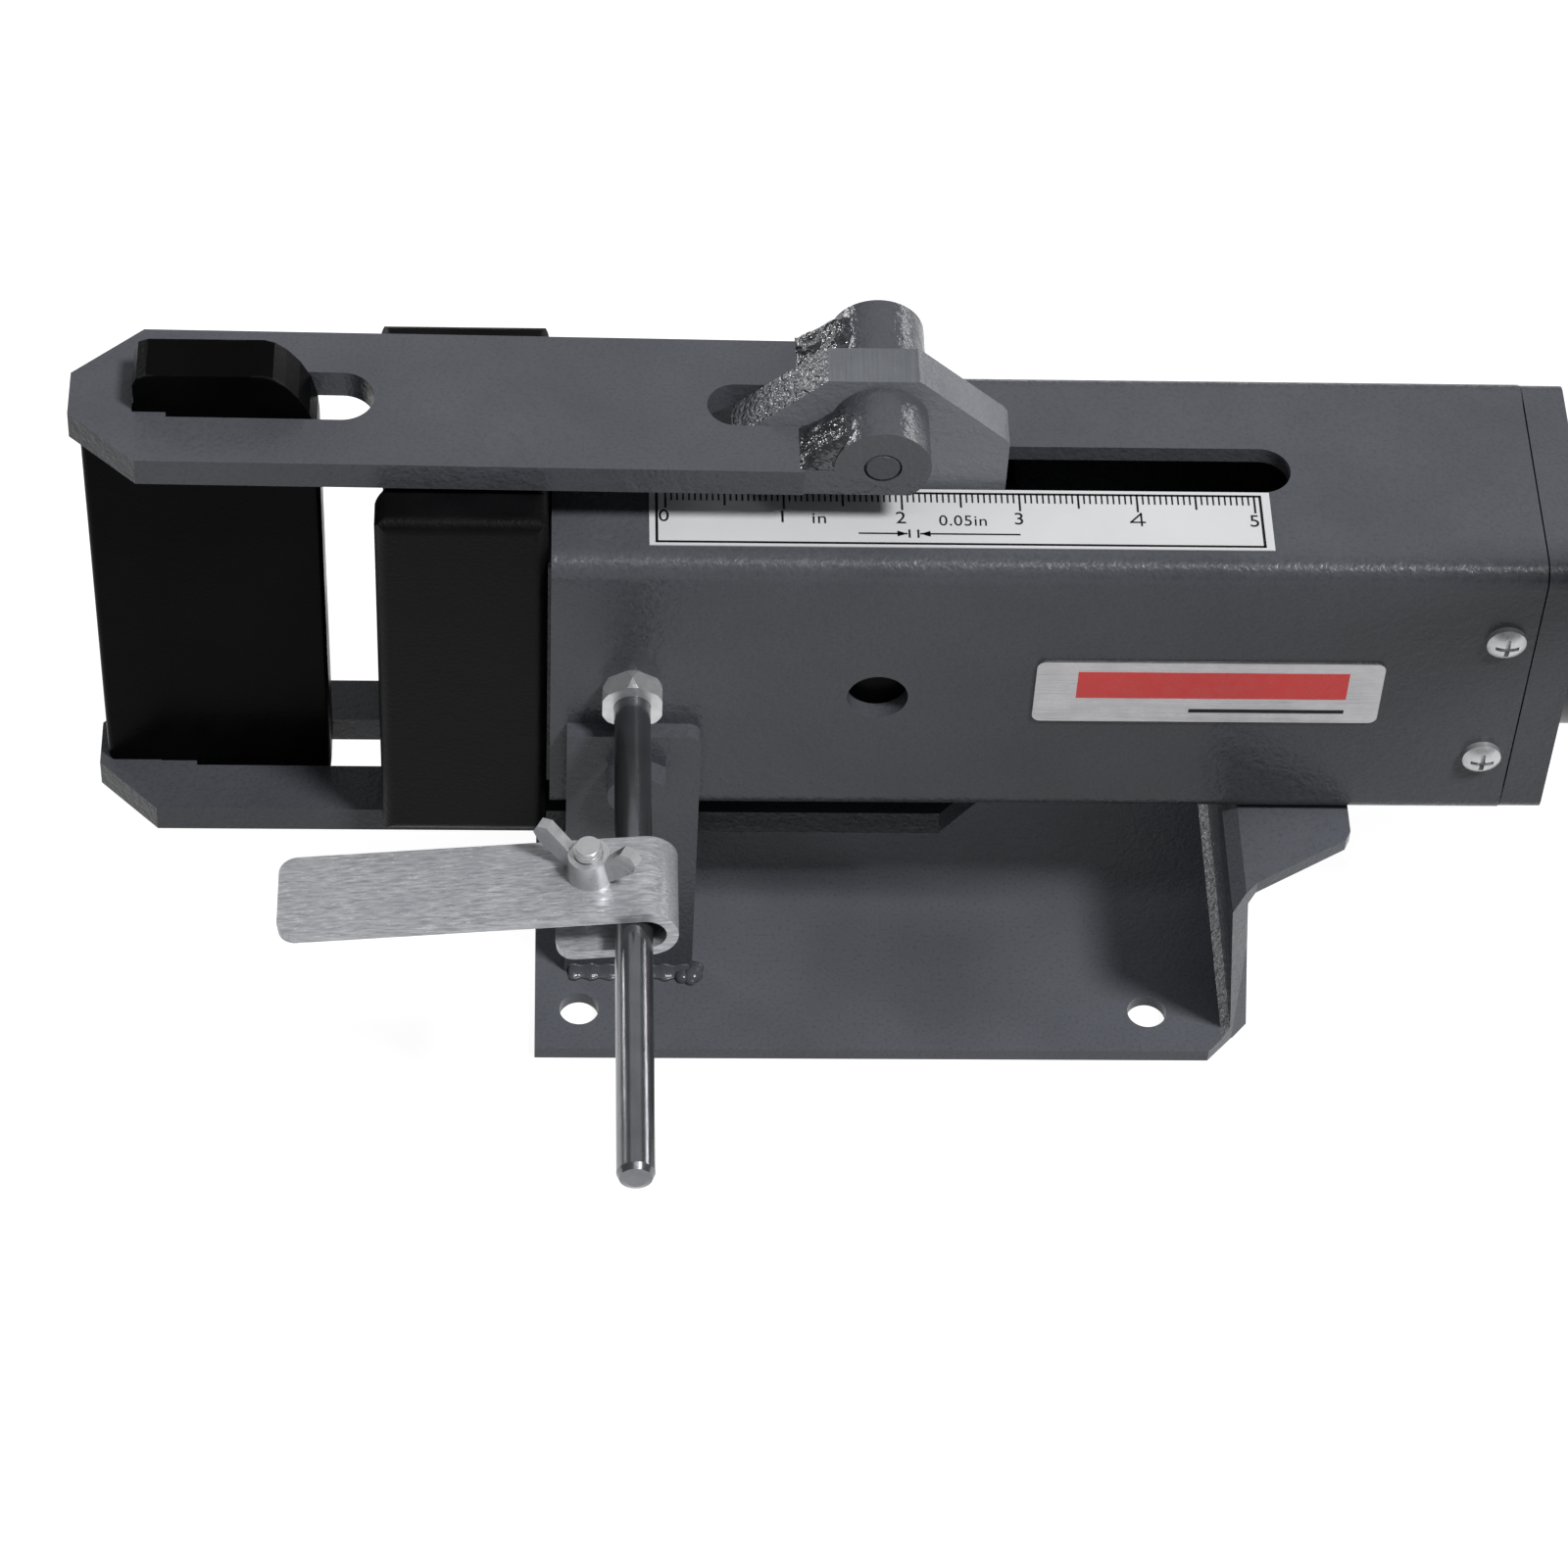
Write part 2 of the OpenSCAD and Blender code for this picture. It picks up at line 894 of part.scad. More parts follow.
module stop_rod() {
    inner = 19.5;
    color([0.5, 0.51, 0.53])
        out_front(rod_x, -inner, axis_z)
            rotate_extrude()
                polygon([
                    [0, 0],
                    [rod_d / 2 - 0.5, 0],
                    [rod_d / 2, 0.5],
                    [rod_d / 2, tube_w / 2 + rod_reach - inner - 2],
                    [rod_d / 2 - 0.6, tube_w / 2 + rod_reach - inner - 0.6],
                    [rod_d / 2 - 2, tube_w / 2 + rod_reach - inner],
                    [0, tube_w / 2 + rod_reach - inner]
                ]);
}

// Places children about the rod's axis in the arm's tilt, middle of the arm
module arm_frame() {
    translate([rod_x, arm_y, axis_z])
        rotate([0, -arm_tilt, 0])
            children();
}

module stop_arm() {
    fold_out = fold_r + arm_t;
    color([0.66, 0.67, 0.69])
        arm_frame()
            difference() {
                intersection() {
                    side_view(arm_w) {
                        difference() {
                            translate([fold_x, 0])
                                circle(r = fold_out, $fn = 64);
                            translate([fold_x, 0])
                                circle(r = fold_r, $fn = 64);
                            translate([fold_x - 20, -10])
                                square([20, 20]);
                        }
                        translate([-arm_left, fold_r])
                            square([arm_left + fold_x, arm_t]);
                        translate([-arm_tail, -fold_out])
                            square([arm_tail + fold_x, arm_t]);
                    }
                    union() {
                        translate([-arm_left / 2 + 20, 0, 0])
                            linear_extrude(20)
                                round_rect(arm_left + 40, arm_w, 4);
                        translate([-arm_tail / 2 + 20, 0, -20])
                            linear_extrude(20 + eps)
                                round_rect(arm_tail + 40, arm_w, 4);
                    }
                }
                translate([clamp_x, clamp_y, -20])
                    cylinder(d = clamp_d + 0.4, h = 40);
            }
}

module clamp_bolt() {
    under = fold_r + arm_t;
    color([0.68, 0.69, 0.7])
        arm_frame()
            translate([clamp_x, clamp_y, 0]) {
                translate([0, 0, -under - 4])
                    hex_prism(10, 4);
                translate([0, 0, -under - eps])
                    cylinder(d = clamp_d, h = under + 15.5);
            }
}

module wing_nut() {
    seat = fold_r + arm_t;
    color([0.75, 0.76, 0.77])
        arm_frame()
            translate([clamp_x, clamp_y, seat])
                rotate(-28)
                    difference() {
                        union() {
                            cylinder(r1 = 5.2, r2 = 4.4, h = 6);
                            for (s = [0, 1])
                                mirror([s, 0, 0])
                                    side_view(2.6)
                                        polygon([
                                            [3.4, 0.8],
                                            [5.4, 0.8],
                                            [11.2, 6.4],
                                            [12.2, 9],
                                            [11, 11.2],
                                            [8.7, 11.5],
                                            [3.4, 5.2]
                                        ]);
                        }
                        translate([0, 0, -1])
                            cylinder(d = clamp_d + 2 * fit_gap, h = 16);
                    }
}

// ---- drive ----

module lead_screw() {
    x0 = -56;
    x_shoulder = cap_x0 - spigot_len - 1;
    x_end = wheel_x0 + wheel_len + 12;
    turns = floor((x_shoulder - x0 - 4) / screw_pitch);
    root = screw_d / 2 - 1.8;
    crest = screw_d / 2;
    profile = [
        for (i = [0:turns - 1], k = [0:3])
            [k == 1 || k == 2 ? crest : root,
             2 + (i + [0, 0.2, 0.5, 0.7][k]) * screw_pitch]
    ];
    color([0.55, 0.56, 0.58])
        along_x(x0)
            difference() {
                rotate_extrude()
                    polygon(concat(
                        [[0, 0], [root, 0]],
                        profile,
                        [[root, x_shoulder - x0],
                         [shaft_d / 2, x_shoulder - x0],
                         [shaft_d / 2, x_end - x0],
                         [0, x_end - x0]]
                    ));
                translate([shaft_d / 2 - 2.5, -2.5, wheel_x0 - x0])
                    cube([5, 5, wheel_len]);
            }
}

module race_turning() {
    color([0.7, 0.71, 0.73])
        race(cap_x1 + race_t + ball_d);
}

module ratchet_wheel() {
    gap = 360 / teeth;
    flange_x0 = cap_x1 + 2 * race_t + ball_d;
    color([0.5, 0.51, 0.53])
        translate([0, 0, axis_z])
            rotate([lever_lean, 0, 0])
                rotate([0, 90, 0])
                    difference() {
                        union() {
                            translate([0, 0, flange_x0])
                                cylinder(d = 28, h = wheel_x0 - flange_x0 + eps);
                            translate([0, 0, wheel_x0])
                                cylinder(d = wheel_tip_d, h = wheel_len);
                        }
                        for (i = [0:teeth - 1])
                            rotate(i * gap)
                                translate([0, 0, wheel_x0 - 1])
                                    linear_extrude(wheel_len + 2)
                                        polygon([
                                            [wheel_root_d / 2, -2.4],
                                            [wheel_tip_d / 2 + 1, -3.2],
                                            [wheel_tip_d / 2 + 1, 3.2],
                                            [wheel_root_d / 2, 2.4]
                                        ]);
                        translate([0, 0, flange_x0 - 1])
                            cylinder(d = shaft_d, h = 60);
                        rotate(-lever_lean)
                            translate([shaft_d / 2 - 2.5, -2.5, wheel_x0])
                                cube([5, 5, wheel_len + 1]);
                    }
}

module drive_key() {
    color([0.6, 0.61, 0.63])
        along_x(wheel_x0)
            translate([shaft_d / 2 - 2.5, -2.5, 0])
                cube([5, 5, wheel_len]);
}

module wheel_nut() {
    color([0.68, 0.69, 0.7])
        along_x(wheel_x0 + wheel_len)
            hex_nut(22, 9, shaft_d);
}

// Lever socket and pawl barrel, cut clear of the bearing housing and the cover
module head_bosses() {
    difference() {
        translate([head_mid_x, 0, -44])
            cylinder(d = 19, h = 44);
        head_clearance();
    }
    difference() {
        translate([head_mid_x, 0, 0])
            cylinder(d = socket_d, h = socket_top);
        head_clearance();
    }
}

module head_clearance() {
    rotate([0, 90, 0]) {
        translate([0, 0, head_x0 - 20])
            cylinder(d = housing_d + 1.2, h = 20);
        translate([0, 0, head_x0 + head_len - cover_t])
            cylinder(d = head_d + 0.2, h = 20);
    }
}

module ratchet_head() {
    color([0.1, 0.1, 0.11])
        leaning()
            difference() {
                union() {
                    rotate([0, 90, 0])
                        translate([0, 0, head_x0])
                            cylinder(d = head_d, h = head_len - cover_t);
                    head_bosses();
                }
                rotate([0, 90, 0])
                    translate([0, 0, wheel_x0 - 0.4])
                        cylinder(d = cavity_d, h = 40);
                rotate([0, 90, 0])
                    translate([0, 0, head_x0 - 20])
                        cylinder(d = 28.8, h = 60);
                translate([head_mid_x, 0, bar_z0])
                    cylinder(d = lever_d, h = 60);
                translate([head_mid_x, 0, -60])
                    cylinder(d = pawl_d + 2 * fit_gap, h = 60);
                translate([head_mid_x, 0, -60])
                    cylinder(d = 13, h = 31.4);
                translate([head_mid_x - 30, 0, 50])
                    rotate([0, 90, 0])
                        cylinder(d = 5, h = 60);
                for (a = [45, 135, 225, 315])
                    rotate([0, 90, 0])
                        rotate(a)
                            translate([27, 0, head_x0 + 6])
                                cylinder(d = 3, h = 20);
            }
}

module ratchet_cover() {
    x0 = head_x0 + head_len - cover_t;
    color([0.13, 0.13, 0.14])
        leaning()
            rotate([0, 90, 0])
                difference() {
                    translate([0, 0, x0])
                        cylinder(d = head_d, h = cover_t);
                    translate([0, 0, x0 - 1])
                        cylinder(d = 28.8, h = cover_t + 2);
                    for (a = [45, 135, 225, 315])
                        rotate(a)
                            translate([27, 0, x0 - 1])
                                cylinder(d = 3.3, h = cover_t + 2);
                }
}

module cover_screws() {
    color([0.7, 0.71, 0.73])
        leaning()
            rotate([0, 90, 0])
                for (a = [45, 135, 225, 315])
                    rotate(a)
                        translate([27, 0, head_x0 + head_len])
                            pan_screw(3, 5.6, 2, 9);
}

module lever_bar() {
    color([0.62, 0.63, 0.65])
        leaning()
            translate([head_mid_x, 0, 0])
                difference() {
                    translate([0, 0, bar_z0])
                        cylinder(d = lever_d, h = lever_reach - bar_z0);
                    translate([-30, 0, 50])
                        rotate([0, 90, 0])
                            cylinder(d = 5, h = 60);
                }
}

module lever_pin() {
    color([0.5, 0.51, 0.53])
        leaning()
            translate([head_mid_x - socket_d / 2 - 0.5, 0, 50])
                rotate([0, 90, 0])
                    cylinder(d = 5, h = socket_d + 1);
}

module lever_grip() {
    grip_z1 = lever_reach + 4;
    color([0.08, 0.08, 0.08])
        leaning()
            translate([head_mid_x, 0, grip_z1 - grip_len])
                rotate_extrude()
                    polygon([
                        [lever_d / 2, 0],
                        [grip_d / 2 + 2, 0],
                        [grip_d / 2 + 2, 4],
                        [grip_d / 2 - 1, 9],
                        [grip_d / 2, 40],
                        [grip_d / 2 - 0.6, grip_len - 12],
                        [grip_d / 2 - 2, grip_len - 3],
                        [grip_d / 2 - 6, grip_len],
                        [0, grip_len],
                        [0, grip_len - 4],
                        [lever_d / 2, grip_len - 4]
                    ]);
}

// Plunger below the head, tooth towards the wheel, parked just out of mesh
module pawl() {
    tip = wheel_tip_d / 2 + 0.4;
    color([0.6, 0.61, 0.63])
        leaning()
            translate([head_mid_x, 0, 0])
                difference() {
                    union() {
                        translate([0, 0, -32])
                            cylinder(d = pawl_d, h = 32 - tip);
                        translate([0, 0, -34])
                            cylinder(d = 12, h = 2);
                        translate([0, 0, -58])
                            cylinder(d = 5, h = 26);
                    }
                    for (s = [-1, 1])
                        translate([0, s * 4, -tip - 2])
                            cube([12, 4, 9], center = true);
                }
}

module pawl_spring() {
    coils = 3;
    color([0.6, 0.61, 0.63])
        leaning()
            translate([head_mid_x, 0, -35.2])
                for (i = [0:coils - 1])
                    translate([0, 0, -i * 2])
                        rotate_extrude()
                            translate([4.4, 0])
                                circle(d = 1.2, $fn = 16);
}

module pawl_cap() {
    color([0.14, 0.14, 0.15])
        leaning()
            translate([head_mid_x, 0, -44])
                difference() {
                    cylinder(d = 12.9, h = 3);
                    translate([0, 0, -1])
                        cylinder(d = 5.1, h = 5);
                }
}

module pawl_knob() {
    color([0.08, 0.08, 0.08])
        leaning()
            translate([head_mid_x, 0, -67])
                difference() {
                    rotate_extrude()
                        polygon([
                            [0, 0],
                            [8, 0],
                            [10, 2],
                            [10, 12],
                            [8.5, 13.5],
                            [6, 18],
                            [0, 18]
                        ]);
                    translate([0, 0, 9])
                        cylinder(d = 5, h = 20);
                }
}

base_bracket();
front_bracket();
rear_bracket();
bracket_welds();
bracket_bolts();
flange_bolts();
tube_body();
scale_label();
badge();
end_cap();
cap_screws();
screw_bush();
bearing_housing();
housing_screws();
race_fixed();
bearing_balls();
ball_cage();
die_plug();
die_block();
die_bolts();
rod_boss_nut();
rod_jam_nut();
lead_screw();
race_turning();
ratchet_wheel();
drive_key();
wheel_nut();
ram_nut();
ram_lug();
lower_lug();
ram_welds();
bottom_strap();
hinge_pin();
punch_blade();
top_strap();
strap_knuckles();
knuckle_welds();
stop_rod();
stop_arm();
clamp_bolt();
wing_nut();
ratchet_head();
ratchet_cover();
cover_screws();
lever_bar();
lever_pin();
lever_grip();
pawl();
pawl_spring();
pawl_cap();
pawl_knob();
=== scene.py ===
import math
import random

import bmesh
import bpy
from mathutils import Matrix, Vector
from mathutils import noise as space_noise


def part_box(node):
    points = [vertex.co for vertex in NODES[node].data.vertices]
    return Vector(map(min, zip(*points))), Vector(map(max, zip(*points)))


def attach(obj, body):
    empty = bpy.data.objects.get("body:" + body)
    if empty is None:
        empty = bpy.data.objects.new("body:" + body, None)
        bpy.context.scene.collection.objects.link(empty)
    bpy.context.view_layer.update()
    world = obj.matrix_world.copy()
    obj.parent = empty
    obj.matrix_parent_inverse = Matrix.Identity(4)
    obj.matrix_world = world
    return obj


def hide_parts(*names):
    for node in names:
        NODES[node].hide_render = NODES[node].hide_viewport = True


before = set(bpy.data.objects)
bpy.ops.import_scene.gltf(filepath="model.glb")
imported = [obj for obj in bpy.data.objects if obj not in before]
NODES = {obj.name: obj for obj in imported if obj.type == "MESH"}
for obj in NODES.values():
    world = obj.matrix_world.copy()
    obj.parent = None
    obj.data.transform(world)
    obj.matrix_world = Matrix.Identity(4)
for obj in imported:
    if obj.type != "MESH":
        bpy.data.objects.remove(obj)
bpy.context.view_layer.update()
MM = 0.001
INCH = 0.0254
# The hinge pin's middle, and how far the top strap and the stop arm are turned at rest, in degrees
HINGE_PIN = Vector((-2.95, 0, 156.4)) * MM
STRAP_TILT = 0.6
ARM_TURN = -6.1
# How far the scale's print stands out of its film, and how far it goes in
PRINT = 0.03 * MM


# ---------------------------------------------------------------- materials

def material(name):
    """A node material with its shader, and object coordinates to drive it."""
    mat = bpy.data.materials.new(name)
    mat.use_nodes = True
    tree = mat.node_tree
    shader = tree.nodes["Principled BSDF"]
    coords = tree.nodes.new("ShaderNodeTexCoord")
    return mat, tree, shader, coords.outputs["Object"]


def stretch(tree, coords, scale):
    """The coordinates multiplied along each axis, for grain and brushing."""
    node = tree.nodes.new("ShaderNodeMapping")
    node.inputs["Scale"].default_value = scale
    tree.links.new(coords, node.inputs["Vector"])
    return node.outputs["Vector"]


def noise(tree, coords, scale, detail=4.0, rough=0.55):
    """Cloudy noise between 0 and 1."""
    node = tree.nodes.new("ShaderNodeTexNoise")
    node.inputs["Scale"].default_value = scale
    node.inputs["Detail"].default_value = detail
    node.inputs["Roughness"].default_value = rough
    tree.links.new(coords, node.inputs["Vector"])
    return node.outputs["Fac"]


def ramp(tree, value, low, high, low_color, high_color):
    """A colour that goes from low_color to high_color as value goes low to high."""
    node = tree.nodes.new("ShaderNodeValToRGB")
    first, last = node.color_ramp.elements
    first.position, last.position = low, high
    first.color = (*low_color, 1)
    last.color = (*high_color, 1)
    tree.links.new(value, node.inputs["Fac"])
    return node.outputs["Color"]


def spread(tree, value, low, high, out_low, out_high):
    """A number that goes from out_low to out_high as value goes low to high."""
    node = tree.nodes.new("ShaderNodeMapRange")
    for key, number in (("From Min", low), ("From Max", high),
                        ("To Min", out_low), ("To Max", out_high)):
        node.inputs[key].default_value = number
    tree.links.new(value, node.inputs["Value"])
    return node.outputs["Result"]


def mix(tree, factor, a, b):
    """A colour between a and b; each is a plain colour or a socket."""
    node = tree.nodes.new("ShaderNodeMix")
    node.data_type = "RGBA"
    tree.links.new(factor, node.inputs["Factor"])
    for socket, value in ((node.inputs[6], a), (node.inputs[7], b)):
        if isinstance(value, tuple):
            socket.default_value = (*value, 1)
        else:
            tree.links.new(value, socket)
    return node.outputs[2]


def multiply(tree, a, b):
    """The product of two numbers, for laying one mask over another."""
    node = tree.nodes.new("ShaderNodeMath")
    node.operation = "MULTIPLY"
    tree.links.new(a, node.inputs[0])
    tree.links.new(b, node.inputs[1])
    return node.outputs[0]


def bump(tree, shader, heights):
    """Adds (height, strength, distance) bumps one after another."""
    previous = None
    for height, strength, distance in heights:
        node = tree.nodes.new("ShaderNodeBump")
        node.inputs["Strength"].default_value = strength
        node.inputs["Distance"].default_value = distance
        tree.links.new(height, node.inputs["Height"])
        if previous is not None:
            tree.links.new(previous, node.inputs["Normal"])
        previous = node.outputs["Normal"]
    tree.links.new(previous, shader.inputs["Normal"])


def edge_mask(tree, radius):
    """About 1 near sharp edges and 0 on flat faces."""
    soft = tree.nodes.new("ShaderNodeBevel")
    soft.samples = 6
    soft.inputs["Radius"].default_value = radius
    sharp = tree.nodes.new("ShaderNodeNewGeometry")
    dot = tree.nodes.new("ShaderNodeVectorMath")
    dot.operation = "DOT_PRODUCT"
    tree.links.new(soft.outputs["Normal"], dot.inputs[0])
    tree.links.new(sharp.outputs["Normal"], dot.inputs[1])
    return spread(tree, dot.outputs["Value"], 0.98, 0.75, 0, 1)


def facing(tree, axis, low, high):
    """A mask of faces whose own normal points along an axis, 0 below low and 1 above high."""
    coords = tree.nodes["Texture Coordinate"]
    parts = tree.nodes.new("ShaderNodeSeparateXYZ")
    tree.links.new(coords.outputs["Normal"], parts.inputs[0])
    return spread(tree, parts.outputs[axis], low, high, 0, 1)


def grey_paint(name="grey_paint", tone=1.0, edge_wear_and_highlight=0.12, gloss=0.28, peel_depth=0.6, shine=0.2):
    """Textured powder paint: a pitted orange-peel skin with lighter edges, partly rubbed wear and partly
    a painted highlight.
    """
    mat, tree, shader, coords = material(name)
    cloud = noise(tree, coords, 38, 3)
    peel = noise(tree, coords, 480, 2, 0.5)
    grit = noise(tree, coords, 1150, 2, 0.5)
    dark = tuple(tone * c for c in (0.066, 0.07, 0.0805))
    light = tuple(tone * c for c in (0.079, 0.0838, 0.096))
    pit = tuple(tone * c for c in (0.045, 0.0475, 0.054))
    base = ramp(tree, cloud, 0.3, 0.7, dark, light)
    base = mix(tree, spread(tree, grit, 0.55, 0.3, 0, 0.3), base, pit)
    # Edges get a lighter colour: partly rubbed wear, partly a painted highlight along the edges
    edges = edge_mask(tree, 0.0008)
    wear = spread(tree, noise(tree, coords, 210, 5), 0.42, 0.66, 0, edge_wear_and_highlight)
    rub = multiply(tree, edges, wear)
    tree.links.new(mix(tree, rub, base, (0.2, 0.205, 0.215)), shader.inputs["Base Color"])
    tree.links.new(spread(tree, grit, 0.3, 0.7, gloss - 0.06, gloss + 0.1), shader.inputs["Roughness"])
    shader.inputs["Specular IOR Level"].default_value = shine
    bump(tree, shader, [(peel, peel_depth, 0.0003), (grit, 0.8, 0.00014)])
    return mat


def lug_paint():
    """Paint over a sawn block: painted light on the front faces, spatter on the left slope, saw marks on
    the flat top.
    """
    mat, tree, shader, coords = material("lug_paint")
    left = facing(tree, "X", -0.35, -0.55)
    top = facing(tree, "Z", 0.9, 0.97)
    grit = noise(tree, coords, 1200, 2, 0.5)
    peel = noise(tree, coords, 520, 2, 0.45)
    spatter = multiply(tree, left, noise(tree, coords, 900, 1, 0.5))
    marks = multiply(tree, top, noise(tree, stretch(tree, coords, (1, 0.03, 1)), 900, 2, 0.6))
    cloud = noise(tree, coords, 90, 4)
    # The faces looking forward (-Y) get a lighter colour: painted light
    front = facing(tree, "Y", -0.6, -0.9)
    base = ramp(tree, cloud, 0.3, 0.7, (0.1, 0.106, 0.119), (0.13, 0.137, 0.152))
    tree.links.new(mix(tree, front, base, (0.19, 0.2, 0.222)), shader.inputs["Base Color"])
    tree.links.new(spread(tree, left, 0, 1, 0.36, 0.14), shader.inputs["Roughness"])
    tree.links.new(spread(tree, left, 0, 1, 0.3, 0.9), shader.inputs["Specular IOR Level"])
    bump(tree, shader, [(peel, 0.5, 0.0003), (grit, 0.6, 0.00014),
                        (spatter, 1.0, 0.0011), (marks, 0.9, 0.0005)])
    return mat


def weld_paint():
    """Thick glossy paint over a rough weld."""
    mat, tree, shader, coords = material("weld_paint")
    waves = noise(tree, coords, 260, 1, 0.5)
    ripples = noise(tree, coords, 950, 1, 0.5)
    tree.links.new(ramp(tree, waves, 0.3, 0.7, (0.022, 0.0235, 0.0275), (0.04, 0.043, 0.05)),
                   shader.inputs["Base Color"])
    tree.links.new(spread(tree, ripples, 0.3, 0.7, 0.08, 0.2), shader.inputs["Roughness"])
    shader.inputs["Specular IOR Level"].default_value = 0.7
    bump(tree, shader, [(waves, 0.9, 0.0018), (ripples, 0.9, 0.0006)])
    return mat


def black_steel(name="black_steel", tone=1.0, rough=0.42, cast=0.4, shine=0.2):
    """Black oxide over a skin as rough as cast says, with dull rubbed edges."""
    mat, tree, shader, coords = material(name)
    cloud = noise(tree, coords, 55, 5)
    pits = noise(tree, coords, 1100, 3, 0.6)
    dark = tuple(tone * c for c in (0.0032, 0.0032, 0.0036))
    light = tuple(tone * c for c in (0.0062, 0.0062, 0.007))
    base = ramp(tree, cloud, 0.32, 0.7, dark, light)
    edges = edge_mask(tree, 0.0012)
    wear = spread(tree, noise(tree, coords, 160, 5), 0.5, 0.75, 0, 0.35)
    rub = multiply(tree, edges, wear)
    tree.links.new(mix(tree, rub, base, (0.05, 0.05, 0.053)), shader.inputs["Base Color"])
    tree.links.new(spread(tree, cloud, 0.3, 0.7, rough - 0.06, rough + 0.1), shader.inputs["Roughness"])
    shader.inputs["Specular IOR Level"].default_value = shine
    bump(tree, shader, [(pits, cast, 0.0002), (cloud, 0.3, 0.0006)])
    return mat


def metal(name, color, rough, grain, grain_scale, vary=0.12, dirt=0.5, depth=0.28, pure=1.0):
    """Bare metal: grain stretches the coordinates, so marks run along its smallest axis."""
    mat, tree, shader, coords = material(name)
    marks = noise(tree, stretch(tree, coords, grain), grain_scale, 6, 0.7)
    cloud = noise(tree, coords, 130, 4)
    low = tuple(c * (1 - dirt * 0.5) for c in color)
    tree.links.new(ramp(tree, cloud, 0.28, 0.6, low, color), shader.inputs["Base Color"])
    tree.links.new(spread(tree, marks, 0.3, 0.7, rough - vary, rough + vary),
                   shader.inputs["Roughness"])
    shader.inputs["Metallic"].default_value = pure
    bump(tree, shader, [(marks, depth, 0.00012), (cloud, 0.12, 0.0003)])
    return mat


def worn_strip():
    """Handled aluminium strip: streaks along it, fine bright scratches, cloudy stains."""
    mat, tree, shader, coords = material("worn_aluminium")
    streaks = noise(tree, stretch(tree, coords, (1, 8, 8)), 230, 3, 0.6)
    stains = noise(tree, stretch(tree, coords, (1, 1.6, 1)), 75, 4, 0.6)
    scratch = noise(tree, stretch(tree, coords, (1, 9, 9)), 260, 3, 0.85)
    base = ramp(tree, streaks, 0.3, 0.72, (0.26, 0.27, 0.29), (0.58, 0.59, 0.61))
    base = mix(tree, spread(tree, stains, 0.4, 0.66, 0, 0.5), base, (0.33, 0.34, 0.37))
    base = mix(tree, spread(tree, scratch, 0.6, 0.68, 0, 0.8), base, (0.8, 0.81, 0.83))
    tree.links.new(base, shader.inputs["Base Color"])
    tree.links.new(spread(tree, streaks, 0.3, 0.7, 0.46, 0.28), shader.inputs["Roughness"])
    shader.inputs["Metallic"].default_value = 0.45
    bump(tree, shader, [(streaks, 0.25, 0.00012), (scratch, 0.3, 0.0001)])
    return mat


def plain(name, color, rough, scale, depth, spec=0.5, spot=0.25):
    """A matt moulded or printed surface with fine grain and slight unevenness."""
    mat, tree, shader, coords = material(name)
    cloud = noise(tree, coords, 60, 4)
    grain = noise(tree, coords, scale, 3)
    low = tuple(c * (1 - spot) for c in color)
    tree.links.new(ramp(tree, cloud, 0.3, 0.65, low, color), shader.inputs["Base Color"])
    tree.links.new(spread(tree, grain, 0.3, 0.7, rough - 0.08, rough + 0.08), shader.inputs["Roughness"])
    shader.inputs["Specular IOR Level"].default_value = spec
    bump(tree, shader, [(grain, 0.35, depth)])
    return mat


MATS = {
    "paint": grey_paint(),
    # A brighter copy of the grey paint for the base plate: painted light
    "paint_base_painted_light": grey_paint("grey_paint_base_painted_light", 1.28, 0.1, 0.3, 0.4),
    # A darker copy of the grey paint for the bottom strap, lower lug and die plug: painted shade
    "paint_low_painted_shade": grey_paint("grey_paint_low_painted_shade", 0.75, 0.1),
    "lug": lug_paint(),
    "weld": weld_paint(),
    "knuckle": grey_paint("knuckle_paint", 0.92, 0.15, 0.2, 1.0, 0.34),
    "bead": grey_paint("bead_paint", 0.9, 0.0, 0.16, 0.5),
    "die": black_steel("black_die", 0.8, 0.4, 0.6, 0.06),
    "punch": black_steel("black_punch", 0.4, 0.26, 0.25, 0.025),
    "black": black_steel("black_enamel", 1.4, 0.3, 0.12, 0.4),
    "zinc": metal("zinc_plate", (0.58, 0.585, 0.6), 0.36, (1, 1, 1), 420, 0.14, 0.5, 0.4, 0.7),
    "steel": metal("turned_steel", (0.3, 0.305, 0.32), 0.3, (30, 1, 30), 60),
    "dark_steel": metal("dark_steel", (0.1, 0.102, 0.11), 0.34, (1, 1, 1), 300, 0.08, 0.4),
    "rod": metal("rod_steel", (0.18, 0.184, 0.197), 0.21, (22, 1, 22), 60, 0.08, 0.35, 0.15, 0.86),
    "screw": metal("screw_steel", (0.3, 0.305, 0.32), 0.34, (30, 1, 1), 60),
    "race": metal("bearing_steel", (0.6, 0.61, 0.63), 0.14, (1, 1, 1), 500, 0.06, 0.2),
    "bronze": metal("bronze", (0.5, 0.34, 0.16), 0.32, (30, 1, 1), 60),
    "aluminium": worn_strip(),
    "badge": metal("brushed_badge", (0.4, 0.395, 0.41), 0.34, (1, 40, 40), 60, 0.2, 0.3, 0.9, 0.85),
    "chrome": metal("lever_plate", (0.55, 0.56, 0.58), 0.14, (20, 20, 1), 80, 0.06, 0.2),
    "label": plain("label_film", (0.57, 0.575, 0.59), 0.42, 500, 0.00004, 0.35, 0.05),
    "ink": plain("print_ink", (0.004, 0.004, 0.005), 0.6, 700, 0.00003, 0.2),
    "red": plain("red_enamel", (0.98, 0.02, 0.015), 0.3, 500, 0.00003, 0.5, 0.1),
    "rubber": plain("grip_rubber", (0.012, 0.012, 0.013), 0.62, 700, 0.00012, 0.3),
    "plastic": plain("knob_plastic", (0.01, 0.01, 0.011), 0.4, 420, 0.00008, 0.4),
}

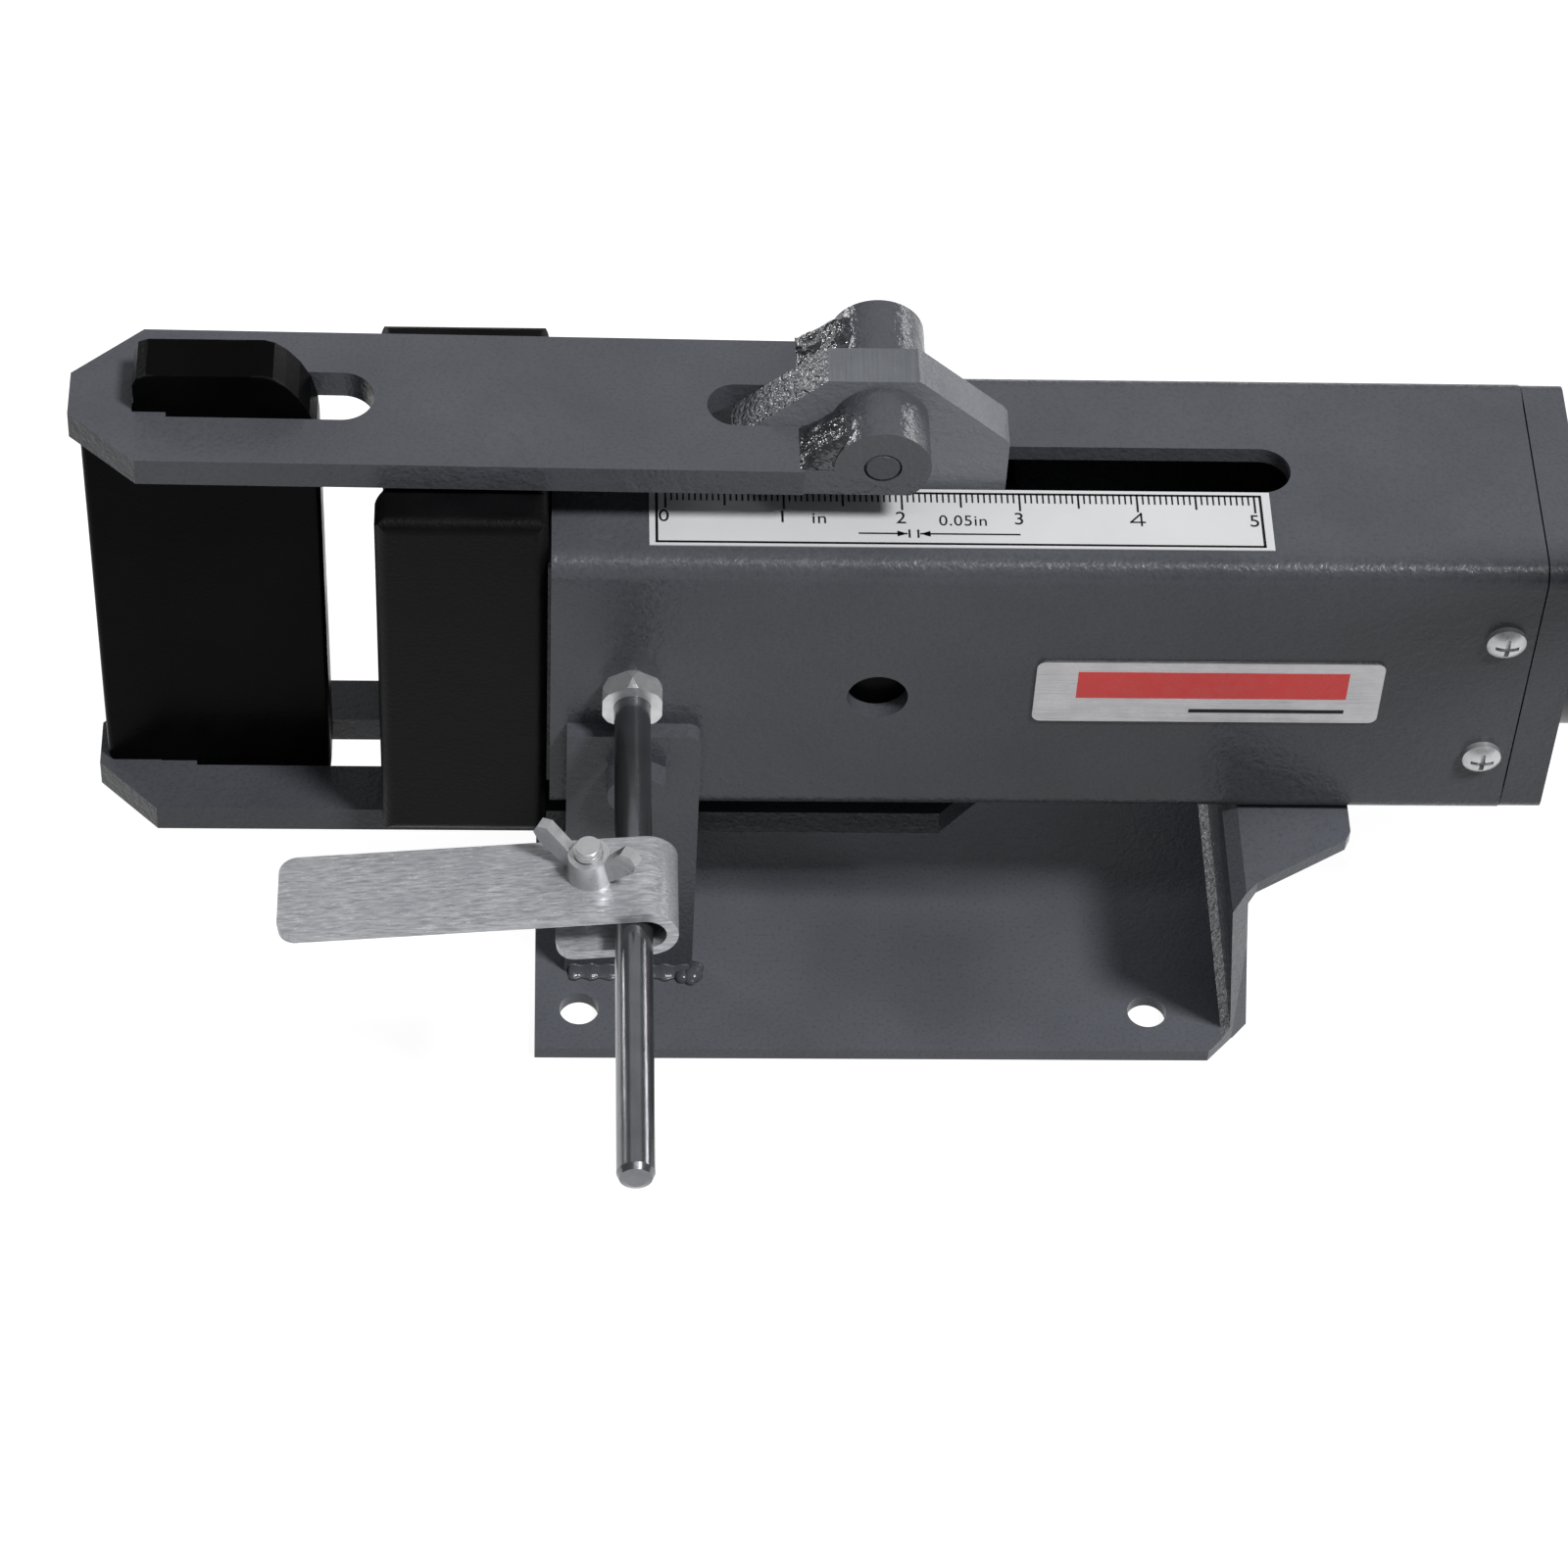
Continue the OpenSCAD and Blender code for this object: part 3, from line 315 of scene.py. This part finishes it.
NODE_MATS = {
    "paint_base_painted_light": ["base_bracket"],
    "paint": ["front_bracket", "rear_bracket", "bracket_bolts", "tube_body",
              "end_cap", "top_strap", "hinge_pin"],
    "knuckle": ["strap_knuckles"],
    "weld": ["bracket_welds", "ram_welds", "knuckle_welds"],
    "lug": ["ram_lug"],
    "paint_low_painted_shade": ["bottom_strap", "lower_lug", "die_plug"],
    "die": ["die_block"],
    "punch": ["punch_blade", "ram_nut"],
    "black": ["bearing_housing", "ratchet_head", "ratchet_cover", "housing_screws"],
    "zinc": ["flange_bolts", "cap_screws", "rod_boss_nut", "rod_jam_nut", "wing_nut", "clamp_bolt",
             "wheel_nut", "cover_screws"],
    "dark_steel": ["die_bolts"],
    "steel": ["ratchet_wheel", "drive_key", "lever_pin", "pawl", "pawl_spring"],
    "screw": ["lead_screw"],
    "rod": ["stop_rod"],
    "race": ["race_fixed", "race_turning", "bearing_balls"],
    "bronze": ["screw_bush", "ball_cage"],
    "aluminium": ["stop_arm"],
    "badge": ["badge"],
    "chrome": ["lever_bar"],
    "label": ["scale_label"],
    "rubber": ["lever_grip"],
    "plastic": ["pawl_knob", "pawl_cap"],
}


def assign_materials():
    """Puts each CAD node's material on it."""
    for key, names in NODE_MATS.items():
        for name in names:
            slots = NODES[name].data.materials
            slots.clear()
            slots.append(MATS[key])


# Edge rounding of the CAD nodes, in millimetres
ROUNDING = {
    "tube_body": 0.7, "end_cap": 0.8, "base_bracket": 0.8, "front_bracket": 1.0, "rear_bracket": 1.0,
    "ram_lug": 0.5, "top_strap": 1.1, "bottom_strap": 0.9, "strap_knuckles": 0.6, "punch_blade": 1.7,
    "stop_arm": 0.6, "rod_jam_nut": 0.25, "bracket_bolts": 0.5, "die_block": 0.8, "cap_screws": 0.2,
    "ratchet_head": 1.2, "ratchet_cover": 0.5, "bearing_housing": 1.0, "badge": 0.2, "wing_nut": 0.4,
}


def round_edges():
    """Rounds the visible edges of the CAD nodes with a modifier."""
    for name, size in ROUNDING.items():
        modifier = NODES[name].modifiers.new("edge_round", "BEVEL")
        modifier.width = size * MM
        modifier.segments = 3
        modifier.limit_method = "ANGLE"
        modifier.angle_limit = math.radians(28)
        modifier.use_clamp_overlap = True
        modifier.harden_normals = True
        for polygon in NODES[name].data.polygons:
            polygon.use_smooth = True


# ------------------------------------------------------------------- pieces

def piece(name, mesh, body, mat):
    """Links a mesh in the row's frame as a piece that rides on a body."""
    obj = bpy.data.objects.new(name, mesh)
    bpy.context.scene.collection.objects.link(obj)
    mesh.materials.clear()
    mesh.materials.append(MATS[mat])
    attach(obj, body)
    return obj


def from_bmesh(bm, name, smooth=False):
    """The finished mesh, shaded smooth or flat all over."""
    mesh = bpy.data.meshes.new(name)
    for face in bm.faces:
        face.smooth = smooth
    bm.to_mesh(mesh)
    bm.free()
    return mesh


def add_box(bm, low, high):
    """A closed box between two corners."""
    result = bmesh.ops.create_cube(bm, size=1.0)
    size = Vector(high) - Vector(low)
    middle = (Vector(high) + Vector(low)) / 2
    for vert in result["verts"]:
        vert.co = Vector((vert.co.x * size.x, vert.co.y * size.y, vert.co.z * size.z)) + middle


def box_middle(node):
    """The middle of a CAD node's box."""
    low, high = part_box(node)
    return (Vector(low) + Vector(high)) / 2


def skin(bm, rings):
    """Joins closed rings of vertices one after another and caps both ends."""
    count = len(rings[0])
    for a, b in zip(rings, rings[1:]):
        for k in range(count):
            m = (k + 1) % count
            bm.faces.new((a[k], a[m], b[m], b[k]))
    bm.faces.new(list(reversed(rings[0])))
    bm.faces.new(rings[-1])


def text_mesh(words, size, place, squeeze=1.0):
    """The words as a flat mesh lying on z, with the left end of the baseline at place."""
    curve = bpy.data.curves.new("words", "FONT")
    curve.body = words
    curve.size = size
    curve.extrude = 0.00003
    curve.offset = 0.00001
    curve.space_character = 1.08
    temp = bpy.data.objects.new("words", curve)
    bpy.context.scene.collection.objects.link(temp)
    bpy.context.view_layer.update()
    graph = bpy.context.evaluated_depsgraph_get()
    mesh = bpy.data.meshes.new_from_object(temp.evaluated_get(graph))
    bpy.data.objects.remove(temp)
    mesh.transform(Matrix.Translation(place) @ Matrix.Diagonal((squeeze, 1, 1, 1)))
    return mesh


def scale_print():
    """Ticks every 0.05 in, the inch numbers, the border and the pitch arrows."""
    low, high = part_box("scale_label")
    top = high.z
    zero = low.x + 3.5 * MM
    left, right = zero - 2.2 * MM, high.x - 1.8 * MM
    near, far = low.y + 0.7 * MM, high.y - 0.9 * MM
    line = 0.6 * MM
    bm = bmesh.new()

    def bar(x0, y0, x1, y1):
        """A printed bar between two corners."""
        add_box(bm, (x0, y0, top - PRINT), (x1, y1, top + PRINT))

    bar(left, far - line, right, far)
    bar(left, near, right, near + line)
    bar(left, near, left + line, far)
    bar(right - line, near, right, far)
    for i in range(101):
        x = zero + i * 0.05 * INCH
        length = 5.3 * MM if i % 20 == 0 else 4.4 * MM if i % 10 == 0 else 3.0 * MM
        half = 0.23 * MM if i % 10 == 0 else 0.19 * MM
        bar(x - half, far - length, x + half, far)
    pitch_arrows(bm, bar, zero + 2 * INCH, near + 3.2 * MM, top)
    figure_four(bm, zero + 4 * INCH - 1.7 * MM, far - 9.2 * MM, top)
    for mesh in number_meshes(zero, far, top):
        bm.from_mesh(mesh)
    piece("scale_print", from_bmesh(bm, "scale_print"), "frame", "ink")


def pitch_arrows(bm, bar, two, y, top):
    """Two short ticks with an arrow pointing at each from outside."""
    tick_a, tick_b = two + 1.3 * MM, two + 3.2 * MM
    for x in (tick_a, tick_b):
        bar(x - 0.22 * MM, y - 1.2 * MM, x + 0.22 * MM, y + 1.2 * MM)
    for tip, way, reach in ((tick_a - 0.4 * MM, -1, 10.5 * MM), (tick_b + 0.4 * MM, 1, 21.5 * MM)):
        bar(min(tip, tip + way * reach), y - 0.22 * MM, max(tip, tip + way * reach), y + 0.22 * MM)
        arrow_head(bm, tip, y, way, top)


def flat_prism(bm, corners, top):
    """A closed prism as thick as the print; the corners go round anticlockwise."""
    upper = [bm.verts.new((x, y, top + PRINT)) for x, y in corners]
    lower = [bm.verts.new((x, y, top - PRINT)) for x, y in corners]
    bm.faces.new(upper)
    bm.faces.new(reversed(lower))
    for i in range(len(corners)):
        j = (i + 1) % len(corners)
        bm.faces.new((upper[j], upper[i], lower[i], lower[j]))


def arrow_head(bm, tip, y, way, top):
    """A triangle with its point at tip and its back on the side that way says."""
    length, half = 2.2 * MM, 0.85 * MM
    corners = [(tip, y), (tip + way * length, y + half), (tip + way * length, y - half)]
    if way > 0:
        corners.reverse()
    flat_prism(bm, corners, top)


def stroke(bm, start, end, width, top):
    """A straight pen stroke from start to end."""
    along = (Vector(end) - Vector(start)).normalized() * width / 2
    side = Vector((-along.y, along.x))
    corners = [Vector(start) - along - side, Vector(end) + along - side,
               Vector(end) + along + side, Vector(start) - along + side]
    flat_prism(bm, corners, top)


def figure_four(bm, x, y, top):
    """The figure 4 in three strokes, with its foot at x, y."""
    stem, height = 2.3 * MM, 3.5 * MM
    bar_y, width = 0.95 * MM, 0.42 * MM
    stroke(bm, (x + stem, y), (x + stem, y + height), width, top)
    stroke(bm, (x, y + bar_y), (x + 3.0 * MM, y + bar_y), width, top)
    stroke(bm, (x, y + bar_y), (x + stem, y + height), width, top)


def number_meshes(zero, far, top):
    """The inch numbers but for 4, and the two captions."""
    base = far - 9.2 * MM
    words = [(str(i), zero + i * INCH - 1.6 * MM, base, 4.9 * MM, 1.0) for i in (0, 1, 2, 3, 5)]
    words.append(("in", zero + INCH + 5.8 * MM, base - 0.2 * MM, 4.5 * MM, 1.0))
    words.append(("0.05in", zero + 2 * INCH + 7.7 * MM, base - 0.5 * MM, 4.3 * MM, 0.93))
    return [text_mesh(w, size, (x, y, top), squeeze) for w, x, y, size, squeeze in words]


def badge_face():
    """Generic colour bars on the blank plate, standing for its print."""
    low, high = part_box("badge")
    y = low.y
    width, height = high.x - low.x, high.z - low.z

    def bars(name, mat, spans):
        """A piece of flat bars; a span is left, right, bottom and top as shares of the plate."""
        bm = bmesh.new()
        for left, right, bottom, top in spans:
            add_box(bm, (low.x + left * width, y - 0.05 * MM, low.z + bottom * height),
                    (low.x + right * width, y + 0.05 * MM, low.z + top * height))
        bmesh.ops.bevel(bm, geom=list(bm.edges), offset=0.04 * MM, segments=1, affect="EDGES")
        piece(name, from_bmesh(bm, name), "frame", mat)

    bars("badge_bar", "red", [(0.12, 0.9, 0.4, 0.84)])
    bars("badge_line", "ink", [(0.45, 0.9, 0.16, 0.22)])


def foot_welds():
    """Painted fillets where the side brackets stand on the base, lumpy at their right end."""
    rng = random.Random(7)
    bm = bmesh.new()
    for node, side in (("front_bracket", -1), ("rear_bracket", 1)):
        low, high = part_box(node)
        face = low.y if side < 0 else high.y
        x0, x1 = low.x + 1 * MM, high.x - 0.5 * MM
        fillet_strip(bm, x0, x1, face, low.z, side, rng)
        for dx, dy, size in ((0.6, 1.2, 2.4), (1.4, -0.6, 1.9), (0.2, 2.6, 1.6), (-1.6, 1.9, 1.8)):
            lump(bm, (x1 + dx * MM, face + side * dy * MM, low.z + 0.3 * MM), size * MM, rng)
    bmesh.ops.recalc_face_normals(bm, faces=bm.faces)
    obj = piece("foot_welds", from_bmesh(bm, "foot_welds", True), "frame", "bead")
    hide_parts("bracket_welds")


def fillet_strip(bm, x0, x1, face, foot, side, rng):
    """A closed strip with a hollow round section in the corner of a face and the plate under it."""
    steps, arc = 46, 7
    rings = []
    for i in range(steps + 1):
        x = x0 + (x1 - x0) * i / steps
        leg = (2.6 + 0.5 * math.sin(i * 0.9) * rng.uniform(0.5, 1) + rng.uniform(-0.15, 0.15)) * MM
        ring = []
        for k in range(arc):
            angle = math.pi / 2 * k / (arc - 1)
            out = leg * (1 - math.sin(angle)) * 0.75 + leg * 0.25 * (1 - k / (arc - 1))
            up = leg * (1 - math.cos(angle)) * 0.75 + leg * 0.25 * k / (arc - 1)
            ring.append(bm.verts.new((x, face + side * out, foot + up)))
        ring.append(bm.verts.new((x, face - side * 0.2 * MM, foot)))
        rings.append(ring)
    skin(bm, rings)


def lump(bm, place, size, rng):
    """A rounded blob of weld metal, a little uneven."""
    result = bmesh.ops.create_icosphere(bm, subdivisions=2, radius=size)
    for vert in result["verts"]:
        wobble = 1 + rng.uniform(-0.09, 0.09)
        vert.co = Vector((vert.co.x, vert.co.y, vert.co.z * 0.8)) * wobble + Vector(place)


def knuckle_beads():
    """Lumpy painted welds that run from the strap's top up the back of each hinge knuckle."""
    toe = [(-17.6, -1.3), (-17.0, -0.5), (-16.2, 0.5), (-15.0, 1.7), (-13.4, 3.3), (-11.6, 5.2),
           (-9.6, 6.9), (-7.8, 7.9), (-6.2, 8.3), (-4.4, 7.0)]
    bm = bmesh.new()
    for near, far in ((-6.2, -18.9), (6.2, 20.8)):
        bead_grid(bm, toe, near, far)
    bmesh.ops.recalc_face_normals(bm, faces=bm.faces)
    tilt = Matrix.Rotation(math.radians(STRAP_TILT), 4, "Y")
    bm.transform(Matrix.Translation(HINGE_PIN) @ tilt @ Matrix.Diagonal((MM, MM, MM, 1)))
    obj = piece("knuckle_beads", from_bmesh(bm, "knuckle_beads", True), "top_link", "weld")
    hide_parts("knuckle_welds")


def bead_grid(bm, toe, near, far):
    """A closed bead: the toe profile swept from near to far, with soft ends and a lumpy top."""
    columns, rows = (len(toe) - 1) * 3, 26
    strap_top, underside = -1.3, -1.5
    upper, lower = [], []
    for i in range(columns + 1):
        k = min(i // 3, len(toe) - 2)
        part = i / 3 - k
        x = toe[k][0] + (toe[k + 1][0] - toe[k][0]) * part
        z = toe[k][1] + (toe[k + 1][1] - toe[k][1]) * part
        top, foot = [], []
        for j in range(rows + 1):
            y = near + (far - near) * j / rows
            end = (1 - abs(2 * j / rows - 1) ** 6) ** 0.5
            swell = (0.9 * space_noise.noise(Vector((x * 0.33, y * 0.33, 1.7)))
                     + 0.35 * space_noise.noise(Vector((x, y, 5.2))))
            rise = max(0.0, z - strap_top + min(1.0, i / 6) * swell) * end
            top.append(bm.verts.new((x, y, strap_top + rise)))
            foot.append(bm.verts.new((x, y, underside)))
        upper.append(top)
        lower.append(foot)
    for i in range(columns):
        for j in range(rows):
            bm.faces.new((upper[i][j], upper[i + 1][j], upper[i + 1][j + 1], upper[i][j + 1]))
            bm.faces.new((lower[i][j + 1], lower[i + 1][j + 1], lower[i + 1][j], lower[i][j]))
    for i in range(columns):
        for j in (0, rows):
            bm.faces.new((upper[i][j], lower[i][j], lower[i + 1][j], upper[i + 1][j]))
    for j in range(rows):
        for i in (0, columns):
            bm.faces.new((upper[i][j], upper[i][j + 1], lower[i][j + 1], lower[i][j]))


def threaded_post(bm, z0, z1, crest, depth, pitch):
    """A closed post on the Z axis with a right-hand thread; its radius swells and dips once a turn."""
    sides = 40
    rows = int((z1 - z0) / (pitch / 8))
    rings = []
    for j in range(rows + 1):
        z = z0 + (z1 - z0) * j / rows
        lead = min(1.0, (z1 - z) / (0.6 * pitch))
        ring = []
        for k in range(sides):
            phase = (z / pitch - k / sides) % 1.0
            radius = crest - depth * abs(2 * phase - 1) - depth * 0.8 * (1 - lead)
            angle = 2 * math.pi * k / sides
            ring.append(bm.verts.new((radius * math.cos(angle), radius * math.sin(angle), z)))
        rings.append(ring)
    skin(bm, rings)


def clamp_screw():
    """The stop arm's clamp bolt, threaded, with its hexagon head under the arm."""
    bm = bmesh.new()
    seat, top, across_flats = 6.8 * MM, 15.5 * MM, 10 * MM
    threaded_post(bm, -seat, top, crest=3.0 * MM, depth=0.32 * MM, pitch=1.0 * MM)
    corner = across_flats / 2 / math.cos(math.pi / 6)
    head = bmesh.ops.create_cone(bm, cap_ends=True, segments=6, radius1=corner, radius2=corner,
                                 depth=4 * MM)
    for vert in head["verts"]:
        vert.co.z -= seat + 2 * MM
    rod, arm = box_middle("stop_rod"), box_middle("stop_arm")
    on_rod = Matrix.Translation((rod.x, arm.y, rod.z))
    turned = on_rod @ Matrix.Rotation(math.radians(ARM_TURN), 4, "Y")
    bm.transform(turned @ Matrix.Translation((-8.3 * MM, 1.7 * MM, 0)))
    mesh = from_bmesh(bm, "clamp_screw")
    for polygon in mesh.polygons:
        polygon.use_smooth = len(polygon.vertices) == 4 and polygon.area < 1e-6
    obj = piece("clamp_screw", mesh, "arm", "zinc")
    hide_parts("clamp_bolt")


# -------------------------------------------------------------------- stage

def camera():
    """A long lens in front of the operator's side, looking down, with a slight roll."""
    azimuth, elevation, roll = (math.radians(angle) for angle in (4.145, 49.654, 3.565))
    eye = (-0.07389, -0.76677, 0.93578)
    forward = Vector((math.sin(azimuth) * math.cos(elevation),
                      math.cos(azimuth) * math.cos(elevation), -math.sin(elevation)))
    level = Vector((math.cos(azimuth), -math.sin(azimuth), 0))
    up = level.cross(forward)
    right = level * math.cos(roll) + up * math.sin(roll)
    up = right.cross(forward)
    data = bpy.data.cameras.new("camera")
    data.sensor_width = 36
    data.lens = 117.62
    data.clip_end = 20
    obj = bpy.data.objects.new("camera", data)
    bpy.context.scene.collection.objects.link(obj)
    turn = Matrix((right, up, -forward)).transposed().to_4x4()
    obj.matrix_world = Matrix.Translation(eye) @ turn
    bpy.context.scene.camera = obj


def floor():
    """A pale floor that glows enough to stay white, but does not light the part from below."""
    mat, tree, shader, coords = material("pale_floor")
    tree.links.new(ramp(tree, noise(tree, coords, 3, 2), 0.3, 0.7, (0.2, 0.2, 0.2), (0.24, 0.24, 0.24)),
                   shader.inputs["Base Color"])
    shader.inputs["Roughness"].default_value = 0.9
    shader.inputs["Emission Color"].default_value = (1, 1, 1, 1)
    shader.inputs["Emission Strength"].default_value = 0.93
    bm = bmesh.new()
    bmesh.ops.create_grid(bm, x_segments=2, y_segments=2, size=4)
    mesh = from_bmesh(bm, "floor")
    mesh.materials.append(mat)
    obj = bpy.data.objects.new("floor", mesh)
    bpy.context.scene.collection.objects.link(obj)
    obj.visible_diffuse = False


def soft_light(name, place, aim, size, power):
    """A rectangular panel of light that faces aim."""
    data = bpy.data.lights.new(name, "AREA")
    data.shape = "RECTANGLE"
    data.size, data.size_y = size
    data.energy = power
    obj = bpy.data.objects.new(name, data)
    obj.location = place
    obj.rotation_euler = (Vector(aim) - Vector(place)).to_track_quat("-Z", "Y").to_euler()
    bpy.context.scene.collection.objects.link(obj)


def sun_light(toward, energy, angle):
    """One main light from the direction toward, as wide as angle in degrees."""
    data = bpy.data.lights.new("sun", "SUN")
    data.energy = energy
    data.angle = math.radians(angle)
    obj = bpy.data.objects.new("sun", data)
    obj.rotation_euler = (-Vector(toward)).to_track_quat("-Z", "Y").to_euler()
    bpy.context.scene.collection.objects.link(obj)


def lights():
    """Even surroundings, the main light and four panels that shape the edges."""
    world = bpy.data.worlds.new("studio")
    world.use_nodes = True
    background = world.node_tree.nodes["Background"]
    background.inputs["Color"].default_value = (1, 1, 1, 1)
    background.inputs["Strength"].default_value = 0.15
    bpy.context.scene.world = world
    middle = (0, 0, 0.1)
    sun_light((0.4, -0.34, 0.85), 3.1, 11)
    soft_light("back_panel", (0, 1.05, 1.25), middle, (1.6, 0.8), 2.2)
    soft_light("left_rim", (-1.0, 0.92, 0.42), middle, (0.34, 0.18), 5)
    soft_light("right_rim", (1.0, 0.9, 0.5), middle, (0.6, 0.3), 4)
    soft_light("overhead", (0.07, -0.5, 1.35), middle, (0.9, 0.14), 2.5)


# --------------------------------------------------------------------- main

assign_materials()
round_edges()
scale_print()
badge_face()
foot_welds()
knuckle_beads()
clamp_screw()
floor()
lights()
camera()
bpy.context.scene.view_settings.view_transform = "Standard"
